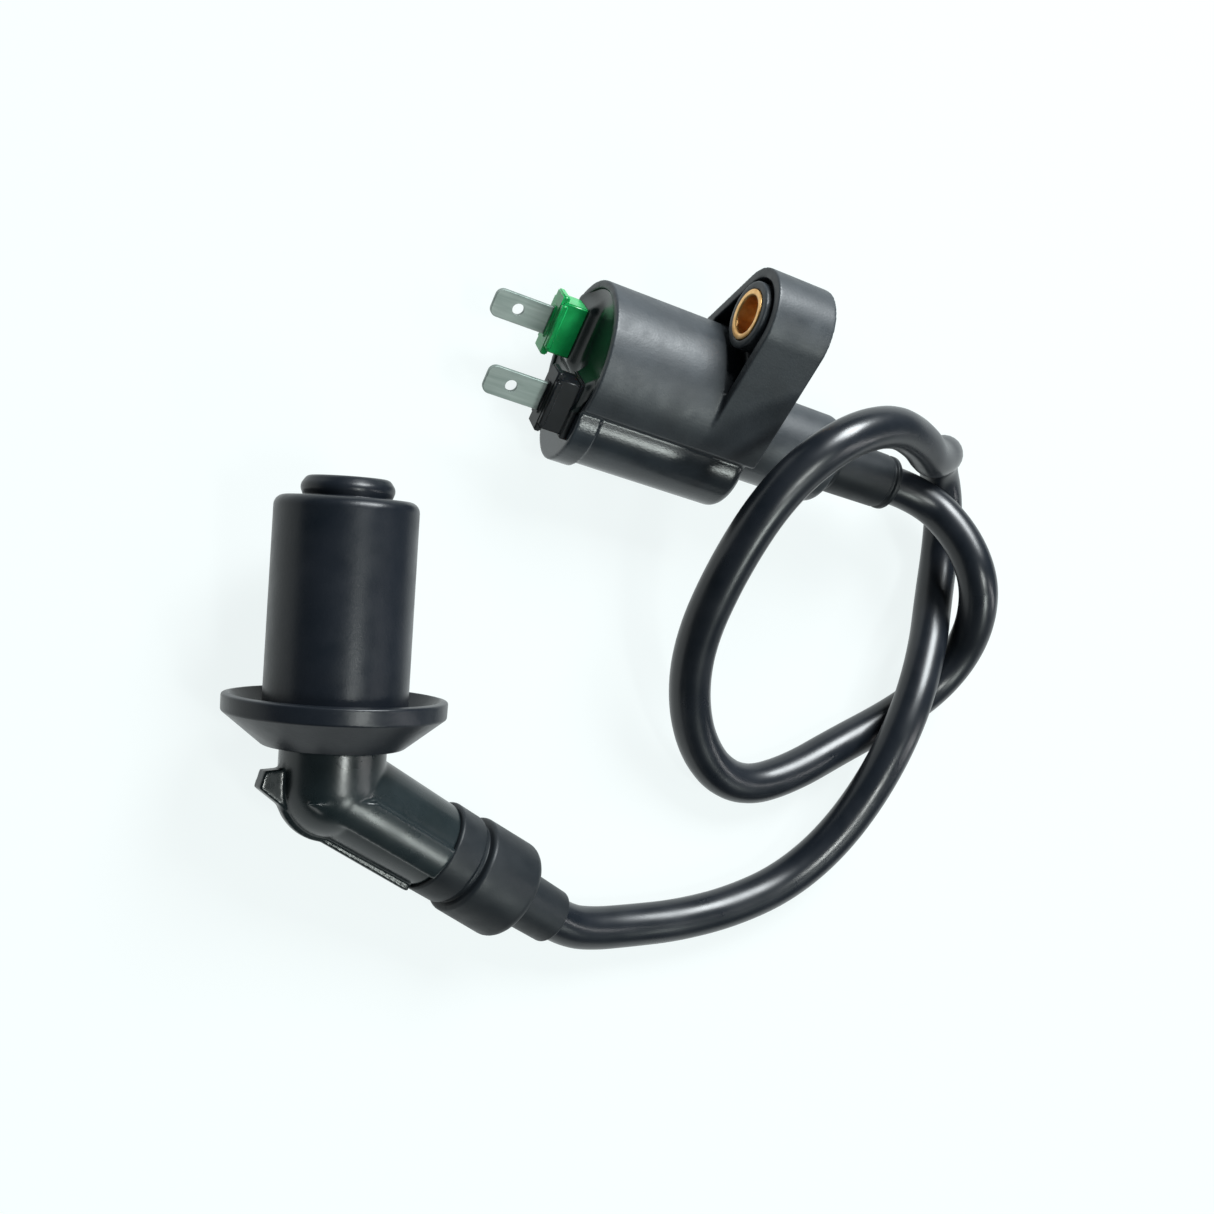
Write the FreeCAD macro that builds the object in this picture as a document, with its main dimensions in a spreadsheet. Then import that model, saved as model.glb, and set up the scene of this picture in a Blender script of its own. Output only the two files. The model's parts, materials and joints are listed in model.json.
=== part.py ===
"""Scooter ignition coil with its tied high-tension lead and angled spark-plug cap.

Row frame: +X runs from the lead outlet towards the two spade terminals, +Z is up and the
whole assembly lies on the plane Z = 0.  The origin is under the middle of the coil itself.
All lengths are millimetres.
"""
import FreeCAD
import Part
import math
import os

Vector = FreeCAD.Vector
Rotation = FreeCAD.Rotation
Placement = FreeCAD.Placement

# ---------------------------------------------------------------- driving dimensions
DIMENSIONS = {
    # where the coil lies: its front face centre in the row frame, and its roll
    "coil_front": 24.2,
    "coil_side": 2.35,
    "coil_height": 12.36,
    "coil_roll": 18.6,
    # housing: barrel, lobe under it, and the outlet tower behind
    "barrel_radius": 13.0,
    "barrel_offset": -2.0,
    "barrel_length": 31.9,
    "cavity_radius": 10.9,
    "cavity_depth": 29.4,
    "rim_radius": 11.6,
    "rim_depth": 1.4,
    "lobe_radius": 8.0,
    "lobe_offset": 6.65,
    "lobe_length": 31.9,
    "lobe_round": 2.0,
    "plate_grow": 0.8,
    "plate_length": 3.9,
    "ledge_offset": 6.3,
    "tower_radius": 7.9,
    "tower_offset": 0.9,
    "tower_length": 17.0,
    "tower_round": 1.4,
    # mounting ear and its bush
    "ear_side": -16.6,
    "ear_rise": 12.7,
    "ear_radius": 8.1,
    "ear_front": 21.0,
    "ear_wall": 1.7,
    "ear_recess": 3.0,
    "boss_radius": 5.6,
    "boss_proud": 0.8,
    "bush_outer": 4.2,
    "bush_bore": 3.15,
    "bush_proud": 0.15,
    # spade terminals and their collars
    "blade_width": 4.8,
    "blade_thick": 0.8,
    "blade_tip": 15.4,
    "blade_foot": 6.6,
    "blade_hole": 1.0,
    "blade_hole_from_tip": 4.4,
    "blade_chamfer": 1.2,
    "blade_twist": 18.0,
    "signal_side": -6.1,
    "signal_rise": -4.3,
    "ground_side": 6.0,
    "ground_rise": 4.4,
    "collar_reach": 5.4,
    "flange_thick": 1.3,
    "flange_width": 10.5,
    "flange_depth": 7.0,
    "block_width": 9.0,
    "block_depth": 5.4,
    # resin and the wound parts inside
    "resin_sink": 0.8,
    "resin_back": 5.2,
    "wound_front": 7.0,
    "wound_back": 28.4,
    "core_side": 6.0,
    "core_sheet": 1.2,
    "primary_tube": 5.0,
    "primary_bore": 4.4,
    "primary_flange": 6.7,
    "primary_wire": 6.3,
    "secondary_tube": 7.6,
    "secondary_bore": 6.9,
    "secondary_flange": 10.7,
    "secondary_wire": 9.9,
    "bobbin_wall": 0.8,
    "pin_radius": 0.75,
    "pin_tip": 41.0,
    "strip_thick": 0.5,
    "strip_length": 9.0,
    "strip_width": 2.2,
    "strip_offset": 3.0,
    # high-tension lead and the gland that grips it
    "lead_radius": 3.5,
    "lead_seat": 34.0,
    "gland_root": 5.3,
    "gland_end": 4.9,
    "gland_length": 14.95,
    "spigot_radius": 4.4,
    "spigot_length": 6.5,
    # plug cap: arm side, measured from the corner of the elbow
    "elbow_turn": 60.0,
    "arm_root": 7.1,
    "arm_end": 6.75,
    "arm_shoulder": 19.5,
    "arm_spigot": 6.3,
    "arm_length": 32.9,
    "arm_bore": 3.6,
    "lead_stop": 15.0,
    "seal_lip": 24.6,
    "seal_groove": 25.4,
    "seal_body": 36.4,
    "seal_reach": 45.4,
    "seal_lip_radius": 7.35,
    "seal_groove_radius": 6.8,
    "seal_body_radius": 8.0,
    "seal_nose_radius": 4.45,
    "screw_radius": 1.2,
    "screw_head": 2.9,
    "screw_tip": 25.0,
    # plug cap: boot side, measured from the corner of the elbow
    "stem_radius": 7.75,
    "stem_top": 5.6,
    "tube_radius": 6.6,
    "tube_top": 33.9,
    "tube_bore": 4.4,
    "tube_floor": 8.0,
    "dish_bottom": 5.6,
    "dish_root": 10.4,
    "dish_rim_low": 10.4,
    "dish_rim_top": 12.9,
    "dish_radius": 16.3,
    "dish_floor": 8.8,
    "dish_lip": 1.0,
    "boot_radius": 10.55,
    "boot_top": 41.6,
    "boot_round": 1.5,
    "mouth_radius": 6.7,
    "mouth_top": 44.5,
    "mouth_bore": 4.6,
    "mouth_round": 1.2,
    "socket_radius": 4.35,
    "socket_bore": 3.2,
    "socket_low": 20.0,
    "socket_floor": 22.0,
    "socket_top": 32.0,
    "ring_major": 3.35,
    "ring_wire": 0.4,
    "ring_height": 29.5,
    "resistor_radius": 2.5,
    "resistor_low": 8.4,
    "resistor_top": 16.4,
    "spring_radius": 1.9,
    "spring_wire": 0.35,
    "spring_pitch": 1.2,
    "fin_reach": 11.3,
    "fin_thick": 2.6,
    "rib_thick": 1.8,
    "rib_height": 0.8,
    "pad_height": 0.55,
    "pad_sweep": 43,
    "pad_start": 52,
    "pad_low": -4.5,
    "pad_ledge": 1.6,
}

# Route of the lead's centreline, from the gland's end face to the cap's seal.  It lies in a
# loose overhand knot: over its own right leg, under it again, then up across the tower.
LEAD_ROUTE = [
    (-39.65, 3.2, 12.13), (-48, 3.2, 12.13), (-54.6, 8.9, 15.6), (-58.9, 16.2, 17.5),
    (-62.5, 22.7, 14.3), (-64.5, 28.9, 8.8), (-62.1, 35.8, 4.9), (-54.7, 43, 3.6),
    (-44.3, 50.4, 3.6), (-34.6, 57.8, 3.6), (-25.8, 61.9, 3.6), (-17.5, 60.1, 4.9),
    (-9.7, 53.1, 8.9), (-4.3, 42.9, 15.9), (-3.5, 30.6, 24.3), (-6, 17.8, 31.6),
    (-12.8, 8, 35.7), (-23.4, 1.3, 33.8), (-33.2, 0.1, 28.9), (-40.5, 0.9, 23.6),
    (-45.9, -3.3, 19.7), (-49.5, -3.6, 12.5), (-55.8, 0.6, 8), (-59.1, 8.5, 4.8),
    (-58.4, 18.8, 5.8), (-55.5, 30.4, 10.2), (-52, 43, 12.6), (-48.5, 56, 10.7),
    (-43.9, 67.7, 7), (-36.9, 76.5, 4.4), (-27.5, 82.4, 3.6), (-17.4, 86.4, 3.6),
    (-8.4, 88.7, 3.6), (-1.5, 90.2, 4.4), (3.82, 90.43, 5.51), (7.1, 89.4, 6.18),
]
BOOT_HEADING = (0.214, -0.967, 0.139)
PARTS_FOLDER = "parts"

doc = FreeCAD.newDocument("ignition_coil")
sheet = doc.addObject("Spreadsheet::Sheet", "sizes")
for row, (alias, value) in enumerate(DIMENSIONS.items(), start=1):
    sheet.set(f"A{row}", alias)
    sheet.set(f"B{row}", str(value))
    sheet.setAlias(f"B{row}", alias)
doc.recompute()

SUBPARTS = {}


# ---------------------------------------------------------------- small building blocks
def size(alias):
    """The value of one spreadsheet cell."""
    return float(sheet.get(alias))


def bind(obj, **formulas):
    """Bind properties to formulas in which @word stands for a spreadsheet cell."""
    for name, formula in formulas.items():
        obj.setExpression(name.replace("__", "."), formula.replace("@", "sizes."))
    return obj


def rod(name, radius, start, end, side="0", rise="0", tip_radius=None):
    """A cylinder, or a cone with tip_radius at its end, along +X from start to end."""
    kind = "Part::Cone" if tip_radius else "Part::Cylinder"
    obj = doc.addObject(kind, name)
    obj.Placement = Placement(Vector(0, 0, 0), Rotation(Vector(0, 1, 0), 90))
    bind(obj, Height=f"({end}) - ({start})", Placement__Base__x=start,
         Placement__Base__y=side, Placement__Base__z=rise)
    if tip_radius:
        return bind(obj, Radius1=radius, Radius2=tip_radius)
    return bind(obj, Radius=radius)


def post(name, radius, low, high, top_radius=None):
    """A cylinder, or a cone with top_radius at its top, along +Z from low to high."""
    kind = "Part::Cone" if top_radius else "Part::Cylinder"
    obj = doc.addObject(kind, name)
    bind(obj, Height=f"({high}) - ({low})", Placement__Base__z=low)
    if top_radius:
        return bind(obj, Radius1=radius, Radius2=top_radius)
    return bind(obj, Radius=radius)


def block(name, start, end, width, depth, side="0", rise="0", twist=0.0):
    """A box from start to end along X, centred on side and rise, turned about X by twist."""
    obj = doc.addObject("Part::Box", name)
    bind(obj, Length=f"({end}) - ({start})", Width=width, Height=depth)
    turn = Rotation(Vector(1, 0, 0), twist)
    doc.recompute()
    corner = turn.multVec(Vector(0, -obj.Width.Value / 2, -obj.Height.Value / 2))
    obj.Placement = Placement(Vector(0, 0, 0), turn)
    return bind(obj, Placement__Base__x=start, Placement__Base__y=f"{side} + {corner.y:.6f}",
                Placement__Base__z=f"{rise} + {corner.z:.6f}")


def fuse(name, pieces):
    """The union of several objects."""
    obj = doc.addObject("Part::MultiFuse", name)
    obj.Shapes = pieces
    obj.Refine = True
    return obj


def cut(name, base, tool):
    """base with tool taken away."""
    obj = doc.addObject("Part::Cut", name)
    obj.Base = base
    obj.Tool = tool
    return obj


def rounded(name, base, radius, wanted):
    """base with the circular edges that wanted(edge) picks rounded to radius."""
    doc.recompute()
    obj = doc.addObject("Part::Fillet", name)
    obj.Base = base
    edges = [i for i, edge in enumerate(base.Shape.Edges, start=1) if wanted(edge)]
    obj.Edges = [(i, size(radius), size(radius)) for i in edges]
    return obj


def is_circle(edge, radius, along, axis="x"):
    """Whether an edge is a circle of this radius centred at along on the given axis."""
    curve = edge.Curve
    if not isinstance(curve, Part.Circle) or abs(curve.Radius - radius) > 1e-3:
        return False
    return abs(getattr(curve.Center, axis) - along) < 1e-3


def fixed(name, shape):
    """A document object that holds a shape made with Part's own functions."""
    obj = doc.addObject("Part::Feature", name)
    obj.Shape = shape
    return obj


def held(name, obj, place):
    """A holder whose Placement is free, for an object whose own Placement is bound."""
    holder = doc.addObject("Part::Compound", name)
    holder.Links = [obj]
    holder.Placement = place
    return holder


def publish(label, obj, place):
    """Name an object as a finished sub-part and put it where it belongs."""
    if any("Placement" in path for path, _ in obj.ExpressionEngine):
        obj = held(label + "_placed", obj, Placement())
    doc.recompute()
    obj.Placement = place.multiply(obj.Placement)
    obj.Label = label
    SUBPARTS[label] = obj
    return obj


# ---------------------------------------------------------------- frames of the assembly
COIL = Placement(
    Vector(size("coil_front"), size("coil_side"), size("coil_height")),
    Rotation(Vector(1, 0, 0), -size("coil_roll")),
)


def cap_frame():
    """The elbow's frame: +X along the arm and the lead's last run, the boot leaning back."""
    last = Vector(*LEAD_ROUTE[-1])
    arm = (Vector(*LEAD_ROUTE[-2]) - last).normalize()
    boot = Vector(*BOOT_HEADING)
    rise = (boot - arm * boot.dot(arm)).normalize()
    across = rise.cross(arm)
    corner = last - arm * size("seal_reach")
    return Placement(corner, Rotation(arm, across, rise, "XZY"))


CAP = cap_frame()
BOOT = CAP.multiply(Placement(Vector(0, 0, 0), Rotation(Vector(0, 1, 0), size("elbow_turn") - 90)))


# ---------------------------------------------------------------- coil housing
def tangent_web(name, radius, end_radius, start, end):
    """A slab bounded by the two lines tangent to the barrel's circle and the ear's circle."""
    barrel = Vector(0, size("barrel_offset"), 0)
    ear = Vector(0, size("ear_side"), size("ear_rise"))
    reach = ear - barrel
    lean = math.acos((radius - end_radius) / reach.Length)
    heading = math.atan2(reach.z, reach.y)
    corners = []
    for centre, spoke, turn in ((barrel, radius, lean), (ear, end_radius, lean),
                                (ear, end_radius, -lean), (barrel, radius, -lean)):
        angle = heading + turn
        corners.append(Vector(start, centre.y + spoke * math.cos(angle),
                              centre.z + spoke * math.sin(angle)))
    outline = Part.makePolygon(corners + corners[:1])
    return fixed(name, Part.Face(outline).extrude(Vector(end - start, 0, 0)))


def make_housing():
    """Barrel cup, lobe, ear and outlet tower, moulded in one piece."""
    barrel = rod("barrel", "@barrel_radius", "-@barrel_length", "0", "@barrel_offset")
    shoulder = block("shoulder", "-@barrel_length", "0", "@barrel_radius", "2 * @barrel_radius + 2",
                     "@ledge_offset + @barrel_radius / 2")
    trimmed = cut("barrel_above_ledge", barrel, shoulder)
    lobe_round = rod("lobe_round_side", "@lobe_radius", "-@lobe_length", "0", "@lobe_offset")
    lobe = rounded("lobe_end", lobe_round, "lobe_round",
                   lambda e: is_circle(e, size("lobe_radius"), -size("lobe_length")))
    neck = block("lobe_neck", "-@lobe_length + @lobe_round", "0", "@lobe_offset", "2 * @lobe_radius",
                 "@lobe_offset / 2")
    plate = rod("lobe_plate", "@lobe_radius + @plate_grow", "-@plate_length", "0", "@lobe_offset")
    plate_neck = block("plate_neck", "-@plate_length", "0", "@lobe_offset - 2",
                       "2 * (@lobe_radius + @plate_grow)", "@lobe_offset / 2 + 1")
    front, back = -size("ear_front"), -size("barrel_length")
    ear_end = rod("ear_end", "@ear_radius", "-@barrel_length", "-@ear_front", "@ear_side",
                  "@ear_rise")
    web = tangent_web("ear_web", size("barrel_radius"), size("ear_radius"), back, front)
    tower_rod = rod("tower_rod", "@tower_radius", "-@barrel_length - @tower_length",
                    "-@barrel_length + 2", "@tower_offset")
    tower_back = -size("barrel_length") - size("tower_length")
    tower = rounded("tower", tower_rod, "tower_round",
                    lambda e: is_circle(e, size("tower_radius"), tower_back))
    wall = size("ear_wall")
    recess_web = tangent_web("recess_web", size("barrel_radius") - wall,
                             size("ear_radius") - wall, front - size("ear_recess"), front + 1)
    recess_end = rod("recess_end", "@ear_radius - @ear_wall", "-@ear_front - @ear_recess",
                     "-@ear_front + 1", "@ear_side", "@ear_rise")
    recess = fuse("recess", [recess_web, recess_end])
    boss = rod("boss", "@boss_radius", "-@barrel_length", "-@ear_front + @boss_proud",
               "@ear_side", "@ear_rise")
    ear = cut("hollowed_ear", fuse("ear", [ear_end, web]), recess)
    body = fuse("housing_outside", [trimmed, lobe, neck, plate, plate_neck, ear, boss, tower])
    cavity = rod("cavity", "@cavity_radius", "-@cavity_depth", "1", "@barrel_offset")
    rim = rod("rim", "@rim_radius", "-@rim_depth", "1", "@barrel_offset")
    bush_seat = rod("bush_seat", "@bush_outer", "-@barrel_length - 1", "0", "@ear_side",
                    "@ear_rise")
    lead_seat = rod("lead_seat_bore", "@lead_radius", "-@barrel_length - @tower_length - 1",
                    "-@lead_seat", "@tower_offset")
    gland_seat = rod("gland_seat", "@spigot_radius", "-@barrel_length - @tower_length - 1",
                     "-@barrel_length - @tower_length + @spigot_length", "@tower_offset")
    pin_hole = rod("pin_hole", "@pin_radius", "-@lead_seat - 1", "-@cavity_depth + 1",
                   "@tower_offset")
    room = fuse("housing_room", [cavity, rim, bush_seat, lead_seat, gland_seat, pin_hole])
    publish("coil_housing", cut("housing_cut", body, room), COIL)


def make_bush():
    """Brass bush that takes the mounting screw."""
    outside = rod("bush_outside", "@bush_outer", "-@barrel_length - @bush_proud",
                  "-@ear_front + @boss_proud + @bush_proud", "@ear_side", "@ear_rise")
    bore = rod("bush_hole", "@bush_bore", "-@barrel_length - 2", "0", "@ear_side", "@ear_rise")
    publish("mount_bush", cut("bush_cut", outside, bore), COIL)


# ---------------------------------------------------------------- terminals
def make_terminal(label, collar_label, side, rise):
    """A spade blade with a hole near its chamfered tip, and the collar it stands in."""
    stand = COIL.multiply(Placement(Vector(0, size(side), size(rise)),
                                    Rotation(Vector(1, 0, 0), -size("blade_twist"))))
    blade = block(label + "_strip", "-@blade_foot", "@blade_tip", "@blade_width", "@blade_thick")
    doc.recompute()
    chamfer = doc.addObject("Part::Chamfer", label + "_tip")
    chamfer.Base = blade
    tip = size("blade_tip")
    corners = [i for i, edge in enumerate(blade.Shape.Edges, start=1)
               if all(abs(v.X - tip) < 1e-6 for v in edge.Vertexes)
               and edge.Length < size("blade_width") / 2]
    chamfer.Edges = [(i, size("blade_chamfer"), size("blade_chamfer")) for i in corners]
    hole = doc.addObject("Part::Cylinder", label + "_hole")
    bind(hole, Radius="@blade_hole", Height="4 * @blade_thick",
         Placement__Base__x="@blade_tip - @blade_hole_from_tip",
         Placement__Base__z="-2 * @blade_thick")
    publish(label, cut(label + "_blade", chamfer, hole), stand)
    outer = block(collar_label + "_outer", "@collar_reach - @flange_thick", "@collar_reach",
                  "@flange_width", "@flange_depth")
    inner = block(collar_label + "_inner", "-@resin_sink", "-@resin_sink + @flange_thick",
                  "@flange_width", "@flange_depth")
    middle = block(collar_label + "_middle", "-@resin_sink", "@collar_reach", "@block_width",
                   "@block_depth")
    slot = block(collar_label + "_slot", "-@resin_sink - 1", "@collar_reach + 1",
                 "@blade_width", "@blade_thick")
    spool = fuse(collar_label + "_spool", [outer, inner, middle])
    publish(collar_label, cut(collar_label + "_cut", spool, slot), stand)


def make_resin():
    """Potting resin that closes the mouth of the cup around both blades."""
    core = rod("resin_core", "@cavity_radius", "-@resin_back", "-@resin_sink", "@barrel_offset")
    brim = rod("resin_brim", "@rim_radius", "-@rim_depth", "-@resin_sink", "@barrel_offset")
    plug = fuse("resin_plug", [core, brim])
    slots = []
    for side, rise in (("signal_side", "signal_rise"), ("ground_side", "ground_rise")):
        slots.append(block(f"resin_slot_{side}", "-@resin_back - 1", "0", "@blade_width",
                           "@blade_thick", "@" + side, "@" + rise, -size("blade_twist")))
    publish("potting_resin", cut("resin_cut", plug, fuse("resin_slots", slots)), COIL)


# ---------------------------------------------------------------- wound parts
def make_bobbin(label, tube, bore, flange, dividers):
    """A bobbin with two end flanges and evenly spaced dividers between its sections."""
    pieces = [rod(label + "_tube", tube, "-@wound_back", "-@wound_front", "@barrel_offset")]
    span = size("wound_back") - size("wound_front") - size("bobbin_wall")
    for i in range(dividers + 2):
        start = f"-@wound_back + {span * i / (dividers + 1):.4f}"
        pieces.append(rod(f"{label}_flange_{i}", flange, start, f"{start} + @bobbin_wall",
                          "@barrel_offset"))
    spool = fuse(label + "_spool", pieces)
    hole = rod(label + "_bore", bore, "-@wound_back - 1", "-@wound_front + 1", "@barrel_offset")
    publish(label, cut(label + "_cut", spool, hole), COIL)


def make_winding(label, outer, inner, sections):
    """Wire wound in equal sections between a bobbin's flanges, each a closed ring."""
    wall = size("bobbin_wall")
    span = size("wound_back") - size("wound_front") - wall
    rings = []
    for i in range(sections):
        start = -size("wound_back") + wall + span * i / sections
        length = span / sections - wall
        centre = Vector(start, size("barrel_offset"), 0)
        axis = Vector(1, 0, 0)
        ring = Part.makeCylinder(size(outer), length, centre, axis)
        rings.append(ring.cut(Part.makeCylinder(size(inner), length, centre, axis)))
    publish(label, fixed(label + "_rings", Part.makeCompound(rings)), COIL)


def make_core():
    """Laminated iron core: a stack of equal sheets through the primary bobbin."""
    sheets = []
    count = round(size("core_side") / size("core_sheet"))
    for i in range(count):
        corner = Vector(-size("wound_back"), size("barrel_offset") - size("core_side") / 2,
                        -size("core_side") / 2 + i * size("core_sheet"))
        sheets.append(Part.makeBox(size("wound_back") - size("wound_front"), size("core_side"),
                                   size("core_sheet") - 0.05, corner))
    publish("core_laminations", fixed("core_sheets", Part.makeCompound(sheets)), COIL)


def make_output():
    """High-tension pin through the rear wall, and the strip that feeds it."""
    publish("ht_pin", rod("ht_pin_rod", "@pin_radius", "-@pin_tip", "-@cavity_depth",
                          "@tower_offset"), COIL)
    publish("ht_contact_strip", block("ht_strip", "-@cavity_depth",
                                      "-@cavity_depth + @strip_thick", "@strip_length",
                                      "@strip_width", "@tower_offset + @strip_offset"), COIL)


# ---------------------------------------------------------------- lead and gland
def make_gland():
    """Tapered gland that grips the lead where it leaves the tower."""
    start = "-@barrel_length - @tower_length"
    nose = rod("gland_nose", "@gland_end", f"{start} - @gland_length", start, "@tower_offset",
               tip_radius="@gland_root")
    spigot = rod("gland_spigot", "@spigot_radius", start, f"{start} + @spigot_length",
                 "@tower_offset")
    bore = rod("gland_bore", "@lead_radius", f"{start} - @gland_length - 1",
               f"{start} + @spigot_length + 1", "@tower_offset")
    publish("lead_gland", cut("gland_cut", fuse("gland", [nose, spigot]), bore), COIL)
    inner = rod("lead_inner_coil", "@lead_radius", f"{start} - @gland_length", "-@lead_seat",
                "@tower_offset")
    prick = rod("lead_prick_coil", "@pin_radius", "-@pin_tip", "-@lead_seat + 1",
                "@tower_offset")
    publish("lead_end_in_coil", cut("lead_inner_coil_cut", inner, prick), COIL)


def make_lead():
    """The free stretch of the lead: straight runs joined by tangent arcs."""
    points = [Vector(*p) for p in LEAD_ROUTE]
    edges = []
    here = points[0]
    radii = []
    for before, corner, after in zip(points, points[1:], points[2:]):
        into = (corner - before).normalize()
        out = (after - corner).normalize()
        turn = into.getAngle(out)
        reach = 0.45 * min((corner - before).Length, (after - corner).Length)
        radius = reach / math.tan(turn / 2)
        radii.append(radius)
        start, end = corner - into * reach, corner + out * reach
        inward = (out - into).normalize()
        centre = corner + inward * (radius / math.cos(turn / 2))
        middle = centre - inward * radius
        edges.append(Part.LineSegment(here, start).toShape())
        edges.append(Part.Arc(start, middle, end).toShape())
        here = end
    edges.append(Part.LineSegment(here, points[-1]).toShape())
    path = Part.Wire(edges)
    profile = Part.Wire(Part.makeCircle(size("lead_radius"), points[0], points[1] - points[0]))
    tube = path.makePipeShell([profile], True, True)
    section = math.pi * size("lead_radius") ** 2
    print("lead length %.1f mm, volume ratio %.4f" % (path.Length,
                                                      tube.Volume / (section * path.Length)))
    print("bend radii mm:", " ".join("%.1f" % r for r in radii))
    publish("ht_lead", fixed("lead_tube", tube), Placement())


# ---------------------------------------------------------------- plug cap, arm side
def raised_pad(name, start_angle, boot_turn):
    """A raised strip along one side of the arm that ends in a ledge below the stem."""
    strip = doc.addObject("Part::Cylinder", name)
    lying = Rotation(Vector(0, 1, 0), 90).multiply(Rotation(Vector(0, 0, 1), start_angle))
    strip.Placement = Placement(Vector(0, 0, 0), lying)
    bind(strip, Radius="@arm_root + @pad_height", Height="@arm_shoulder - @pad_low",
         Angle="@pad_sweep", Placement__Base__x="@pad_low")
    above = post(name + "_above", "4 * @stem_radius", "-@pad_ledge", "4 * @stem_radius")
    return cut(name + "_trimmed", strip, held(name + "_above_turned", above, boot_turn))


def make_cap_body():
    """Moulded elbow: stem inside the boot, corner, arm inside the seal, fin and rib."""
    stem = post("stem", "@stem_radius", "0", "@stem_top")
    tube = post("stem_tube", "@tube_radius", "0", "@tube_top")
    corner = doc.addObject("Part::Sphere", "elbow_corner")
    bind(corner, Radius="@stem_radius")
    fin_points = [(-size("stem_radius") + 1.5, 2.6), (-size("fin_reach") + 0.7, 2.3),
                  (-size("fin_reach"), -0.2), (-size("stem_radius") + 0.6, -3.4),
                  (-size("stem_radius") + 2.4, -4.6)]
    half = size("fin_thick") / 2
    fin_wire = Part.makePolygon([Vector(x, -half, z) for x, z in fin_points + fin_points[:1]])
    fin = fixed("elbow_fin", Part.Face(fin_wire).extrude(Vector(0, 2 * half, 0)))
    boot_turn = Placement(Vector(0, 0, 0), Rotation(Vector(0, 1, 0), size("elbow_turn") - 90))
    disc = doc.addObject("Part::Cylinder", "elbow_rib_disc")
    disc.Placement = Placement(Vector(0, 0, 0), Rotation(Vector(1, 0, 0), 90))
    bind(disc, Radius="@stem_radius + @rib_height - 0.1", Height="@rib_thick",
         Placement__Base__y="@rib_thick / 2")
    upright = fuse("upright", [stem, tube, corner, fin, disc])
    upright.Placement = boot_turn
    arm = rod("arm", "@arm_root", "0", "@arm_shoulder", tip_radius="@arm_end")
    spigot = rod("arm_spigot_rod", "@arm_spigot", "@arm_shoulder", "@arm_length")
    rib = block("arm_rib", "0", "@arm_shoulder", "@rib_thick", "2",
                rise="-(@arm_root + @rib_height - 1)")
    pads = [raised_pad("near_pad", -size("pad_start") - size("pad_sweep"), boot_turn),
            raised_pad("far_pad", size("pad_start"), boot_turn)]
    solid = fuse("cap_solid", [upright, arm, spigot, rib] + pads)
    bore = rod("arm_bore_rod", "@arm_bore", "@lead_stop", "@arm_length + 1")
    screw_hole = rod("screw_hole", "@screw_radius", "0", "@lead_stop + 1")
    head_room = rod("screw_head_room", "@screw_head", "0", "4")
    well = post("tube_well", "@tube_bore", "@tube_floor", "@tube_top + 1")
    contact_hole = post("contact_hole", "@resistor_radius - 0.7", "0", "@tube_floor + 1")
    column = fuse("tube_room", [well, contact_hole])
    column.Placement = boot_turn
    room = fuse("cap_room", [bore, screw_hole, head_room, column])
    publish("cap_elbow", cut("cap_cut", solid, room), CAP)


def make_lead_screw():
    """Pointed screw that pierces the lead's end and carries the current to the resistor."""
    head = rod("lead_screw_head", "@screw_head - 0.1", "1", "4")
    shank = rod("lead_screw_shank", "@screw_radius", "4", "@screw_tip - 3")
    point = rod("lead_screw_point", "@screw_radius", "@screw_tip - 3", "@screw_tip",
                tip_radius="0.2")
    publish("lead_screw", fuse("lead_screw_parts", [head, shank, point]), CAP)
    inner = rod("lead_inner_cap", "@lead_radius", "@lead_stop", "@seal_reach")
    prick = fuse("lead_prick_cap", [
        rod("prick_shank", "@screw_radius", "@lead_stop - 1", "@screw_tip - 3"),
        rod("prick_point", "@screw_radius", "@screw_tip - 3", "@screw_tip", tip_radius="0.2"),
    ])
    publish("lead_end_in_cap", cut("lead_inner_cap_cut", inner, prick), CAP)


def make_lead_seal():
    """Rubber seal over the arm's end: lip ring, groove, body ring and nose on the lead."""
    lip = rod("seal_lip_ring", "@seal_lip_radius", "@arm_shoulder", "@seal_lip")
    groove = rod("seal_groove_ring", "@seal_groove_radius", "@seal_lip", "@seal_groove")
    body_ring = rod("seal_body_ring", "@seal_body_radius", "@seal_groove", "@seal_body")
    body = rounded("seal_body_round", body_ring, "boot_round",
                   lambda e: isinstance(e.Curve, Part.Circle))
    nose = rod("seal_nose", "@seal_nose_radius", "@seal_body", "@seal_reach")
    solid = fuse("seal_solid", [lip, groove, body, nose])
    seat = rod("seal_seat", "@arm_spigot", "@arm_shoulder - 1", "@arm_length")
    bore = rod("seal_bore", "@lead_radius", "@arm_length - 1", "@seal_reach + 1")
    publish("lead_seal", cut("seal_cut", solid, fuse("seal_room", [seat, bore])), CAP)


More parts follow.
